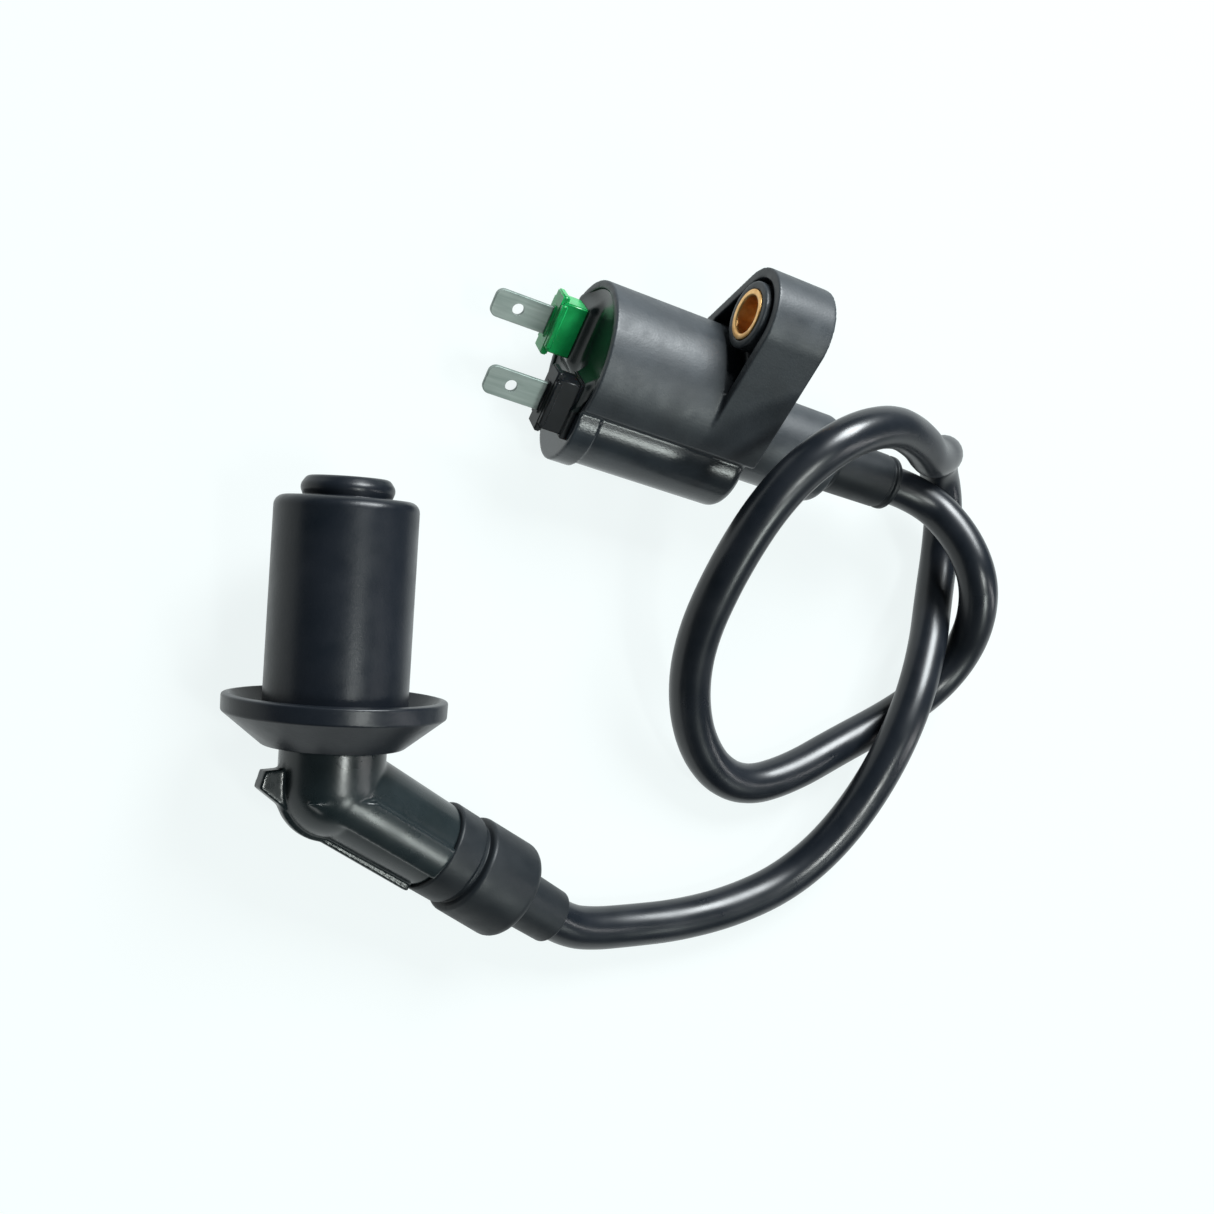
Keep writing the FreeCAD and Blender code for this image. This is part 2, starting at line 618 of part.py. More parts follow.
# ---------------------------------------------------------------- plug cap, boot side
def make_boot():
    """Rubber boot: grip on the stem, dished shroud flange, cylinder and rounded mouth."""
    dish = post("dish_cone", "@dish_root", "@dish_bottom", "@dish_rim_low",
                top_radius="@dish_radius")
    rim = post("dish_rim", "@dish_radius", "@dish_rim_low", "@dish_rim_top")
    hollow = post("dish_hollow", "@boot_radius", "@dish_floor", "@dish_rim_top",
                  top_radius="@dish_radius - @dish_lip")
    shroud = cut("dish_shroud", fuse("dish_solid", [dish, rim]), hollow)
    barrel = post("boot_barrel", "@boot_radius", "@dish_bottom", "@boot_top")
    barrel_round = rounded("boot_barrel_round", barrel, "boot_round",
                           lambda e: is_circle(e, size("boot_radius"), size("boot_top"), "z"))
    mouth = post("boot_mouth", "@mouth_radius", "@boot_top - 2", "@mouth_top")
    mouth_round = rounded("boot_mouth_round", mouth, "mouth_round",
                          lambda e: is_circle(e, size("mouth_radius"), size("mouth_top"), "z"))
    solid = fuse("boot_solid", [shroud, barrel_round, mouth_round])
    seat = post("boot_seat", "@tube_radius", "@dish_bottom - 1", "@tube_top")
    bore = post("boot_bore", "@mouth_bore", "@tube_top - 1", "@mouth_top + 1")
    publish("plug_boot", cut("boot_cut", solid, fuse("boot_room", [seat, bore])), BOOT)


def make_socket():
    """Brass socket for the plug's terminal, with the wire ring that snaps on to it."""
    outside = post("socket_outside", "@socket_radius", "@socket_low", "@socket_top")
    bore = post("socket_hole", "@socket_bore", "@socket_floor", "@socket_top + 1")
    groove = doc.addObject("Part::Torus", "socket_groove")
    bind(groove, Radius1="@ring_major", Radius2="@ring_wire", Placement__Base__z="@ring_height")
    publish("plug_socket", cut("socket_cut", outside, fuse("socket_room", [bore, groove])), BOOT)
    ring = doc.addObject("Part::Torus", "snap_ring_wire")
    bind(ring, Radius1="@ring_major", Radius2="@ring_wire", Placement__Base__z="@ring_height")
    publish("snap_ring", ring, BOOT)


def make_suppressor():
    """Resistor rod and the coil spring that holds it against the socket."""
    publish("resistor", post("resistor_rod", "@resistor_radius", "@resistor_low",
                             "@resistor_top"), BOOT)
    wire = size("spring_wire")
    low = size("resistor_top") + wire + 0.02
    height = size("socket_low") - size("resistor_top") - 2 * wire - 0.04
    helix = Part.makeHelix(size("spring_pitch"), height, size("spring_radius"))
    helix.translate(Vector(0, 0, low))
    start = Vector(size("spring_radius"), 0, low)
    profile = Part.Wire(Part.makeCircle(wire, start, Vector(0, 1, 0)))
    spring = Part.Wire(helix.Edges).makePipeShell([profile], True, True)
    publish("contact_spring", fixed("spring_wire_coil", spring), BOOT)


# ---------------------------------------------------------------- build, check, write
make_housing()
make_bush()
make_terminal("signal_terminal", "green_collar", "signal_side", "signal_rise")
make_terminal("ground_terminal", "black_collar", "ground_side", "ground_rise")
make_resin()
make_core()
make_bobbin("primary_bobbin", "@primary_tube", "@primary_bore", "@primary_flange", 0)
make_winding("primary_winding", "primary_wire", "primary_tube", 1)
make_bobbin("secondary_bobbin", "@secondary_tube", "@secondary_bore", "@secondary_flange", 3)
make_winding("secondary_winding", "secondary_wire", "secondary_tube", 4)
make_output()
make_gland()
make_lead()
make_cap_body()
make_lead_screw()
make_lead_seal()
make_boot()
make_socket()
make_suppressor()
doc.recompute()

for obj in doc.Objects:
    if "Invalid" in obj.State or "Error" in obj.State:
        raise RuntimeError(f"{obj.Name} failed: {obj.State}")
os.makedirs(PARTS_FOLDER, exist_ok=True)
for label, obj in SUBPARTS.items():
    shape = obj.Shape
    if shape.isNull() or not shape.isValid() or not shape.Solids:
        raise RuntimeError(f"{label} is not a valid solid")
    box = shape.BoundBox
    print("%-18s solids %2d volume %9.1f  x %7.2f %7.2f  y %7.2f %7.2f  z %7.2f %7.2f" % (
        label, len(shape.Solids), shape.Volume, box.XMin, box.XMax, box.YMin, box.YMax,
        box.ZMin, box.ZMax))
    shape.exportStep(os.path.join(PARTS_FOLDER, label + ".step"))
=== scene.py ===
"""Scooter ignition coil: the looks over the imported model.  Metres, row frame."""
import bmesh
import bpy
import json
import math
import mathutils


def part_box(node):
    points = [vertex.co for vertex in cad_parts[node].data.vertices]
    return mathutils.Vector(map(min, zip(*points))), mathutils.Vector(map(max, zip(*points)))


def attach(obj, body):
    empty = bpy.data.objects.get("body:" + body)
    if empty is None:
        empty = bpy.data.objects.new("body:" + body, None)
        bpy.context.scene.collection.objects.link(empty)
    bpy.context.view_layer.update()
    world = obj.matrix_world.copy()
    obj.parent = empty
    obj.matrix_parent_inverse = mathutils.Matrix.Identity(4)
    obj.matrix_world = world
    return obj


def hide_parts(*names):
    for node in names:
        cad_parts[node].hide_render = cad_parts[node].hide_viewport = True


Vector = mathutils.Vector
Matrix = mathutils.Matrix

MM = 0.001
ROOT = "root"

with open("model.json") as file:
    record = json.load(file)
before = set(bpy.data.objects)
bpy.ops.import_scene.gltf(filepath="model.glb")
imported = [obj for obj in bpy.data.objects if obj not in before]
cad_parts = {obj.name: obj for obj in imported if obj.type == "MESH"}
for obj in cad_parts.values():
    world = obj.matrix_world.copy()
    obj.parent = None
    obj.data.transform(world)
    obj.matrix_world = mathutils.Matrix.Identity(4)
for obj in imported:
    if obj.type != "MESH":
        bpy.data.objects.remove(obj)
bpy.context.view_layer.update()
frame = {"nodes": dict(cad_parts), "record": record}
MOUNTS = {mount["name"]: mount for mount in frame["record"]["mounts"]}


# ---------------------------------------------------------------- places, from the frame
def box_middle(node):
    """The middle of a CAD node's box."""
    low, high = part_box(node)
    return (Vector(low) + Vector(high)) / 2


def axes_at(origin, x_axis, y_axis, z_axis):
    """The matrix that takes local axes to these three and the local origin to origin."""
    matrix = Matrix((x_axis, y_axis, z_axis)).transposed().to_4x4()
    matrix.translation = origin
    return matrix


# The coil's own frame: x from the front face along the coil, y across, z towards the ear.
TOWER_OFFSET = 0.9 * MM
BARREL_OFFSET = -2.0 * MM
EAR_SIDE = -16.6 * MM
EAR_RISE = 12.7 * MM
tower_middle = box_middle("lead_gland")
bush_middle = Vector(MOUNTS["ear_bush"]["pos_m"])
ear_heading = math.atan2(bush_middle.z - tower_middle.z, bush_middle.y - tower_middle.y)
COIL_ROLL = ear_heading - math.atan2(EAR_RISE, EAR_SIDE - TOWER_OFFSET)
FACE_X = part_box("coil_housing")[1][0]
COIL = Matrix.Translation((FACE_X, tower_middle.y, tower_middle.z))
COIL = COIL @ Matrix.Rotation(COIL_ROLL, 4, "X") @ Matrix.Translation((0, -TOWER_OFFSET, 0))

# The lead's route, the same points as the CAD tube follows.
LEAD_POINTS = [
    (-0.03965, 0.0032, 0.01213), (-0.048, 0.0032, 0.01213), (-0.0546, 0.0089, 0.0156),
    (-0.0589, 0.0162, 0.0175), (-0.0625, 0.0227, 0.0143), (-0.0645, 0.0289, 0.0088),
    (-0.0621, 0.0358, 0.0049), (-0.0547, 0.043, 0.0036), (-0.0443, 0.0504, 0.0036),
    (-0.0346, 0.0578, 0.0036), (-0.0258, 0.0619, 0.0036), (-0.0175, 0.0601, 0.0049),
    (-0.0097, 0.0531, 0.0089), (-0.0043, 0.0429, 0.0159), (-0.0035, 0.0306, 0.0243),
    (-0.006, 0.0178, 0.0316), (-0.0128, 0.008, 0.0357), (-0.0234, 0.0013, 0.0338),
    (-0.0332, 0.0001, 0.0289), (-0.0405, 0.0009, 0.0236), (-0.0459, -0.0033, 0.0197),
    (-0.0495, -0.0036, 0.0125), (-0.0558, 0.0006, 0.008), (-0.0591, 0.0085, 0.0048),
    (-0.0584, 0.0188, 0.0058), (-0.0555, 0.0304, 0.0102), (-0.052, 0.043, 0.0126),
    (-0.0485, 0.056, 0.0107), (-0.0439, 0.0677, 0.007), (-0.0369, 0.0765, 0.0044),
    (-0.0275, 0.0824, 0.0036), (-0.0174, 0.0864, 0.0036), (-0.0084, 0.0887, 0.0036),
    (-0.0015, 0.0902, 0.0044), (0.00382, 0.09043, 0.00551), (0.0071, 0.0894, 0.00618),
]
LEAD_RADIUS = 3.5 * MM

# The cap's frames: both start at the elbow's corner, one along the arm, one up the boot.
MOUTH_HEIGHT = 39.2 * MM
BOOT_AXIS = Vector(MOUNTS["plug_mouth"]["axis"]).normalized()
CORNER = Vector(MOUNTS["plug_mouth"]["pos_m"]) - BOOT_AXIS * MOUTH_HEIGHT
ARM_AXIS = (Vector(LEAD_POINTS[-2]) - Vector(LEAD_POINTS[-1])).normalized()
CAP_ACROSS = BOOT_AXIS.cross(ARM_AXIS).normalized()
ARM = axes_at(CORNER, ARM_AXIS, CAP_ACROSS, ARM_AXIS.cross(CAP_ACROSS))
BOOT = axes_at(CORNER, CAP_ACROSS.cross(BOOT_AXIS), CAP_ACROSS, BOOT_AXIS)


# ---------------------------------------------------------------- material helpers
class Shader:
    """A node material with short ways to add the nodes that this scene needs."""

    def __init__(self, name, colour, roughness, metallic=0.0, coat=0.0, coat_roughness=0.1,
                 specular=0.5):
        self.material = bpy.data.materials.new(name)
        self.material.use_nodes = True
        self.nodes = self.material.node_tree.nodes
        self.links = self.material.node_tree.links
        self.bsdf = self.nodes["Principled BSDF"]
        self.bsdf.inputs["Base Color"].default_value = (*colour, 1)
        self.bsdf.inputs["Roughness"].default_value = roughness
        self.bsdf.inputs["Metallic"].default_value = metallic
        self.bsdf.inputs["Coat Weight"].default_value = coat
        self.bsdf.inputs["Coat Roughness"].default_value = coat_roughness
        self.bsdf.inputs["Specular IOR Level"].default_value = specular
        self.heights = []

    def noise(self, scale, detail=3.0, stretch=(1, 1, 1), roughness=0.55):
        """Object-space noise; scale is in features per metre."""
        coords = self.nodes.new("ShaderNodeTexCoord")
        mapping = self.nodes.new("ShaderNodeMapping")
        mapping.inputs["Scale"].default_value = stretch
        texture = self.nodes.new("ShaderNodeTexNoise")
        texture.inputs["Scale"].default_value = scale
        texture.inputs["Detail"].default_value = detail
        texture.inputs["Roughness"].default_value = roughness
        self.links.new(coords.outputs["Object"], mapping.inputs["Vector"])
        self.links.new(mapping.outputs["Vector"], texture.inputs["Vector"])
        return texture.outputs["Fac"]

    def ramp(self, source, stops):
        """A colour ramp over source; stops are (position, colour)."""
        ramp = self.nodes.new("ShaderNodeValToRGB")
        elements = ramp.color_ramp.elements
        while len(elements) < len(stops):
            elements.new(0.5)
        for element, (position, colour) in zip(elements, stops):
            element.position = position
            element.color = (*colour, 1)
        self.links.new(source, ramp.inputs["Fac"])
        return ramp.outputs["Color"]

    def spread(self, source, low, high, from_low=0.3, from_high=0.7):
        """Source remapped to run from low to high."""
        remap = self.nodes.new("ShaderNodeMapRange")
        remap.inputs["From Min"].default_value = from_low
        remap.inputs["From Max"].default_value = from_high
        remap.inputs["To Min"].default_value = low
        remap.inputs["To Max"].default_value = high
        self.links.new(source, remap.inputs["Value"])
        return remap.outputs["Result"]

    def distance_along(self, place, axis):
        """How far a point lies along one axis of a place, in metres."""
        heading = place.to_3x3().col["xyz".index(axis)]
        coords = self.nodes.new("ShaderNodeTexCoord")
        dot = self.nodes.new("ShaderNodeVectorMath")
        dot.operation = "DOT_PRODUCT"
        dot.inputs[1].default_value = heading
        self.links.new(coords.outputs["Object"], dot.inputs[0])
        shift = self.nodes.new("ShaderNodeMath")
        shift.operation = "SUBTRACT"
        shift.inputs[1].default_value = heading.dot(place.translation)
        self.links.new(dot.outputs["Value"], shift.inputs[0])
        return shift.outputs["Value"]

    def blend_values(self, share, first, second):
        """first where share is 0, the number second where share is 1."""
        mix = self.nodes.new("ShaderNodeMix")
        mix.data_type = "FLOAT"
        self.links.new(share, mix.inputs["Factor"])
        self.links.new(first, mix.inputs["A"])
        mix.inputs["B"].default_value = second
        return mix.outputs["Result"]

    def colour_from(self, source, stops):
        """Base colour from a ramp over source."""
        self.links.new(self.ramp(source, stops), self.bsdf.inputs["Base Color"])
        return self

    def roughness_from(self, source, low, high):
        """Roughness that follows source between low and high."""
        self.links.new(self.spread(source, low, high), self.bsdf.inputs["Roughness"])
        return self

    def bump(self, source, strength, distance):
        """One more layer of bump, over the layers already there."""
        node = self.nodes.new("ShaderNodeBump")
        node.inputs["Strength"].default_value = strength
        node.inputs["Distance"].default_value = distance
        self.links.new(source, node.inputs["Height"])
        if self.heights:
            self.links.new(self.heights[-1].outputs["Normal"], node.inputs["Normal"])
        self.heights.append(node)
        self.links.new(node.outputs["Normal"], self.bsdf.inputs["Normal"])
        return self


def moulded_plastic():
    """Filled plastic of the housing: grained and satin on the barrel, polished on the lobe."""
    shader = Shader("housing_plastic", (0.028, 0.033, 0.038), 0.42, specular=0.46)
    mottle = shader.noise(140, 4.0)
    shader.colour_from(mottle, [(0.3, (0.014, 0.018, 0.022)), (0.72, (0.026, 0.032, 0.038))])
    polish_start, polish_end = 6.0 * MM, 6.8 * MM
    across = shader.distance_along(COIL, "y")
    polish = shader.spread(across, 0.0, 1.0, polish_start, polish_end)
    grain = shader.spread(shader.noise(420, 5.0), 0.40, 0.54)
    shader.links.new(shader.blend_values(polish, grain, 0.24), shader.bsdf.inputs["Roughness"])
    shader.bump(shader.noise(2600, 4.0), 0.35, 0.00006)
    shader.bump(shader.noise(260, 2.0), 0.12, 0.0001)
    return shader.material


def potting_gloss():
    """Self-levelled resin: near black, wet gloss, with a slow ripple."""
    shader = Shader("potting_gloss", (0.006, 0.012, 0.011), 0.24, specular=0.4)
    shader.colour_from(shader.noise(90),
                       [(0.3, (0.004, 0.008, 0.008)), (0.8, (0.012, 0.02, 0.019))])
    shader.bump(shader.noise(120, 2.0), 0.25, 0.0003)
    return shader.material


def tinned_strip():
    """Dull tin plate on the spade terminals, with rolling marks along the strip."""
    shader = Shader("tinned_strip", (0.42, 0.44, 0.40), 0.5, metallic=0.65)
    marks = shader.noise(900, 4.0, stretch=(0.08, 1, 1))
    shader.colour_from(marks, [(0.3, (0.16, 0.20, 0.185)), (0.7, (0.27, 0.31, 0.29))])
    shader.roughness_from(shader.noise(300, 5.0), 0.50, 0.64)
    shader.bump(marks, 0.2, 0.00003)
    return shader.material


def nylon(name, dark, light, roughness, specular=0.4):
    """Coloured nylon of a terminal collar, a little cloudy."""
    shader = Shader(name, light, roughness, coat=0.1, coat_roughness=0.25, specular=specular)
    shader.bsdf.inputs["Subsurface Weight"].default_value = 0.12
    shader.bsdf.inputs["Subsurface Scale"].default_value = 0.001
    shader.colour_from(shader.noise(260, 3.0), [(0.3, dark), (0.7, light)])
    shader.bump(shader.noise(1500, 3.0), 0.2, 0.00004)
    return shader.material


def turned_brass(name, dark, light, roughness):
    """Turned metal with fine tool marks and a little tarnish."""
    shader = Shader(name, light, roughness, metallic=1.0)
    shader.colour_from(shader.noise(500, 5.0), [(0.3, dark), (0.7, light)])
    shader.roughness_from(shader.noise(1200, 4.0), roughness * 0.8, roughness * 1.3)
    shader.bump(shader.noise(2500, 2.0, stretch=(1, 0.2, 0.2)), 0.2, 0.00003)
    return shader.material


def lead_sheath():
    """Extruded sheath of the lead: deep black, soft gloss and a faint waviness."""
    shader = Shader("lead_sheath", (0.008, 0.009, 0.011), 0.30, specular=0.42)
    shader.colour_from(shader.noise(160),
                       [(0.35, (0.004, 0.006, 0.009)), (0.8, (0.010, 0.012, 0.016))])
    shader.roughness_from(shader.noise(120, 3.0), 0.26, 0.36)
    shader.bump(shader.noise(60, 1.0), 0.25, 0.0003)
    return shader.material


def matte_rubber(name, dark, light, low, high):
    """Moulded rubber with a fine bloom and small specks."""
    shader = Shader(name, light, high, specular=0.27)
    shader.colour_from(shader.noise(110, 5.0), [(0.3, dark), (0.75, light)])
    shader.roughness_from(shader.noise(300, 5.0), low, high)
    shader.bump(shader.noise(2200, 4.0), 0.3, 0.00005)
    shader.bump(shader.noise(180, 2.0), 0.2, 0.00015)
    return shader.material


def gloss_moulding():
    """Glossy thermoset of the elbow."""
    shader = Shader("gloss_moulding", (0.012, 0.013, 0.016), 0.28, specular=0.4)
    shader.colour_from(shader.noise(130),
                       [(0.3, (0.005, 0.009, 0.010)), (0.75, (0.011, 0.016, 0.018))])
    shader.roughness_from(shader.noise(200, 3.0), 0.24, 0.34)
    shader.bump(shader.noise(90, 1.0), 0.2, 0.0002)
    return shader.material


def plain_inside(name, colour, roughness, metallic=0.0):
    """Finish of a part that is sealed inside."""
    shader = Shader(name, colour, roughness, metallic)
    light = tuple(min(1.0, 1.3 * c) for c in colour)
    shader.colour_from(shader.noise(600), [(0.3, colour), (0.7, light)])
    return shader.material


HOUSING = moulded_plastic()
RESIN = potting_gloss()
TIN = tinned_strip()
GREEN = nylon("green_nylon", (0.0, 0.20, 0.045), (0.01, 0.34, 0.09), 0.33)
BLACK = nylon("black_nylon", (0.002, 0.003, 0.004), (0.005, 0.006, 0.008), 0.45, specular=0.16)
BUSH_METAL = turned_brass("bush_brass", (0.66, 0.36, 0.12), (0.90, 0.58, 0.26), 0.42)
BRASS = turned_brass("socket_brass", (0.55, 0.38, 0.14), (0.8, 0.6, 0.28), 0.32)
STEEL = turned_brass("bright_steel", (0.45, 0.45, 0.46), (0.7, 0.7, 0.72), 0.3)
LEAD = lead_sheath()
BOOT_RUBBER = matte_rubber("boot_rubber", (0.004, 0.006, 0.009), (0.009, 0.011, 0.015), 0.29, 0.38)
SEAL_RUBBER = matte_rubber("seal_rubber", (0.005, 0.007, 0.009), (0.011, 0.014, 0.017), 0.40, 0.54)
MOULDING = gloss_moulding()
IRON = plain_inside("core_iron", (0.25, 0.25, 0.26), 0.45, 0.9)
BOBBIN = plain_inside("bobbin_nylon", (0.6, 0.58, 0.5), 0.5)
COPPER = plain_inside("winding_copper", (0.55, 0.25, 0.1), 0.35, 0.9)
CERAMIC = plain_inside("resistor_ceramic", (0.6, 0.55, 0.42), 0.4)


# ---------------------------------------------------------------- mesh helpers
def add_piece(name, mesh, material, nodes=(), smooth_angle=35):
    """A mesh piece that rides on the root and may stand for CAD nodes."""
    piece = bpy.data.objects.new(name, mesh)
    bpy.context.scene.collection.objects.link(piece)
    mesh.materials.clear()
    mesh.materials.append(material)
    for polygon in mesh.polygons:
        polygon.use_smooth = True
    mesh.set_sharp_from_angle(angle=math.radians(smooth_angle))
    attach(piece, ROOT)
    if nodes:
        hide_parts(*nodes)
    return piece


def mesh_from(bm, name, place=None):
    """The mesh of a bmesh, with outward faces, moved by a matrix."""
    bmesh.ops.recalc_face_normals(bm, faces=bm.faces)
    mesh = bpy.data.meshes.new(name)
    bm.to_mesh(mesh)
    bm.free()
    if place:
        mesh.transform(place)
    return mesh


def soften(outline, radii, steps=6):
    """A closed outline of (along, radius) points with its corners rounded by radii."""
    result = []
    count = len(outline)
    for i, radius in enumerate(radii):
        corner = Vector(outline[i])
        before = Vector(outline[i - 1]) - corner
        after = Vector(outline[(i + 1) % count]) - corner
        if radius <= 0:
            result.append(corner)
            continue
        half = before.angle(after) / 2
        reach = min(radius / math.tan(half), 0.49 * before.length, 0.49 * after.length)
        radius = reach * math.tan(half)
        middle = (before.normalized() + after.normalized()).normalized() * (radius / math.sin(half))
        start = before.normalized() * reach - middle
        end = after.normalized() * reach - middle
        for k in range(steps + 1):
            part = k / steps
            turn = math.atan2(start.x * end.y - start.y * end.x, start.dot(end)) * part
            spoke = Vector((start.x * math.cos(turn) - start.y * math.sin(turn),
                            start.x * math.sin(turn) + start.y * math.cos(turn)))
            result.append(corner + middle + spoke)
    return result


def lathe(name, outline, place, segments=120, wobble=None):
    """A closed outline of (along, radius) turned round the local z axis."""
    bm = bmesh.new()
    rings = []
    for k in range(segments):
        angle = math.tau * k / segments
        ring = []
        for along, radius in outline:
            if wobble:
                radius += wobble(angle, along, radius)
            ring.append(bm.verts.new((radius * math.cos(angle), radius * math.sin(angle), along)))
        rings.append(ring)
    for k, ring in enumerate(rings):
        after = rings[(k + 1) % segments]
        for j, vertex in enumerate(ring):
            i = (j + 1) % len(ring)
            bm.faces.new((vertex, after[j], after[i], ring[i]))
    return mesh_from(bm, name, place)


def join_boxes(name, boxes, place, bevel):
    """Bevelled boxes, each (low corner, high corner), as one mesh."""
    bm = bmesh.new()
    for low, high in boxes:
        low, high = Vector(low), Vector(high)
        size = high - low
        matrix = Matrix.Translation((low + high) / 2) @ Matrix.Diagonal((*size, 1))
        made = bmesh.ops.create_cube(bm, size=1.0, matrix=matrix)
        edges = {edge for vertex in made["verts"] for edge in vertex.link_edges}
        bmesh.ops.bevel(bm, geom=list(edges), offset=bevel, segments=3, affect="EDGES")
    return mesh_from(bm, name, place)


def moulded_copy(node, name, voxel, rounds):
    """A CAD node's shape as one skin whose corners and joins are rounded like a moulding."""
    weld_distance = 0.002 * MM
    bm = bmesh.new()
    bm.from_mesh(frame["nodes"][node].data)
    bmesh.ops.remove_doubles(bm, verts=bm.verts, dist=weld_distance)
    mesh = mesh_from(bm, name)
    helper = bpy.data.objects.new(name + "_helper", mesh)
    bpy.context.scene.collection.objects.link(helper)
    remesh = helper.modifiers.new("skin", "REMESH")
    remesh.mode = "VOXEL"
    remesh.voxel_size = voxel
    smooth = helper.modifiers.new("round", "SMOOTH")
    smooth.factor = 0.5
    smooth.iterations = rounds
    depsgraph = bpy.context.evaluated_depsgraph_get()
    skin = bpy.data.meshes.new_from_object(helper.evaluated_get(depsgraph))
    bpy.data.objects.remove(helper)
    skin.name = name
    return skin


def along_x(place):
    """A place whose local z runs along place's x, for a lathe along a lying axis."""
    return place @ Matrix.Rotation(math.pi / 2, 4, "Y")


def dress(node, material):
    """Gives a CAD node that stays a better material."""
    piece = frame["nodes"][node]
    piece.data.materials.clear()
    piece.data.materials.append(material)


# ---------------------------------------------------------------- camera first, then the lead
def make_camera():
    """The camera looks down on the parts from the terminals' and the cap's side."""
    eye = Vector((0.1072, 0.0826, 0.2242))
    ahead = Vector((-0.408, -0.183, -0.894)).normalized()
    up = Vector((0.246, -0.965, 0.085))
    right = ahead.cross(up).normalized()
    up = right.cross(ahead)
    data = bpy.data.cameras.new("camera")
    data.sensor_width = 36.0
    data.lens = 43.24
    data.clip_start = 0.005
    data.clip_end = 20.0
    camera = bpy.data.objects.new("camera", data)
    camera.matrix_world = axes_at(eye, right, up, -ahead)
    bpy.context.scene.collection.objects.link(camera)
    bpy.context.scene.camera = camera


def make_lead():
    """The free lead as one smooth curve on the CAD tube's own points."""
    curve = bpy.data.curves.new("lead_curve", "CURVE")
    curve.dimensions = "3D"
    spline = curve.splines.new("NURBS")
    spline.points.add(len(LEAD_POINTS) - 1)
    for point, place in zip(spline.points, LEAD_POINTS):
        point.co = (*place, 1)
    spline.order_u = 3
    spline.use_endpoint_u = True
    spline.resolution_u = 10
    curve.bevel_depth = LEAD_RADIUS
    curve.bevel_resolution = 10
    curve.use_fill_caps = True
    curve.materials.append(LEAD)
    lead = bpy.data.objects.new("lead_free_run", curve)
    bpy.context.scene.collection.objects.link(lead)
    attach(lead, ROOT)
    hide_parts("ht_lead")
    return lead


# ---------------------------------------------------------------- coil
BLADE_TWIST = math.radians(-18.0)


def terminal_place(side, rise):
    """Where a terminal stands on the coil's face, turned by the blades' twist."""
    return COIL @ Matrix.Translation((0, side, rise)) @ Matrix.Rotation(BLADE_TWIST, 4, "X")


SIGNAL_PLACE = terminal_place(-6.1 * MM, -4.3 * MM)
GROUND_PLACE = terminal_place(6.0 * MM, 4.4 * MM)


def make_housing():
    """Housing skin, with the mould's rounding on every edge."""
    skin = moulded_copy("coil_housing", "housing_skin", 0.24 * MM, 3)
    add_piece("housing_skin", skin, HOUSING, ["coil_housing"], smooth_angle=80)


def make_resin():
    """Resin face: sunk in the middle, climbing a little at the rim and at the collars."""
    radius = 11.5 * MM
    level = -0.9 * MM
    climb = 0.45 * MM
    rings = 36
    foot, foot_radius = level - 3.5 * MM, 10.8 * MM
    step = -1.5 * MM
    pinhole = 0.02 * MM
    outline = [(foot, pinhole), (foot, foot_radius), (step, foot_radius), (step, radius)]
    for k in range(rings + 1):
        share = 1 - k / rings
        outline.append((level + climb * share ** 9, max(radius * share, pinhole)))
    place = along_x(COIL @ Matrix.Translation((0, BARREL_OFFSET, 0)))
    mesh = lathe("resin_face", outline, place, segments=144)
    raise_at_collars(mesh, level)
    add_piece("resin_face", mesh, RESIN, ["potting_resin"], smooth_angle=50)


def raise_at_collars(mesh, level):
    """The resin's front climbs the sides of both collars, as it wetted them."""
    half_width, half_depth = 4.4 * MM, 2.7 * MM
    height, fade = 1.7 * MM, 1.5 * MM
    tolerance = 0.05 * MM
    outwards = COIL.to_3x3().col[0].normalized()
    for vertex in mesh.vertices:
        if (COIL.inverted() @ vertex.co).x < level - tolerance:
            continue
        nearness = 0.0
        for place in (SIGNAL_PLACE, GROUND_PLACE):
            local = place.inverted() @ vertex.co
            gap = math.hypot(max(abs(local.y) - half_width, 0), max(abs(local.z) - half_depth, 0))
            nearness = max(nearness, math.exp(-(gap / fade) ** 2))
        vertex.co += outwards * height * nearness


def make_bush():
    """Brass bush with chamfered mouths."""
    outer, bore = 4.2 * MM, 3.15 * MM
    front, back = -20.05 * MM, -32.05 * MM
    outline = [(back, bore), (back, outer), (front, outer), (front, bore)]
    outline = soften(outline, [0.35 * MM, 0.12 * MM, 0.12 * MM, 0.4 * MM], 4)
    place = along_x(COIL @ Matrix.Translation((0, EAR_SIDE, EAR_RISE)))
    mesh = lathe("bush_sleeve", outline, place, segments=96)
    add_piece("bush_sleeve", mesh, BUSH_METAL, ["mount_bush"])


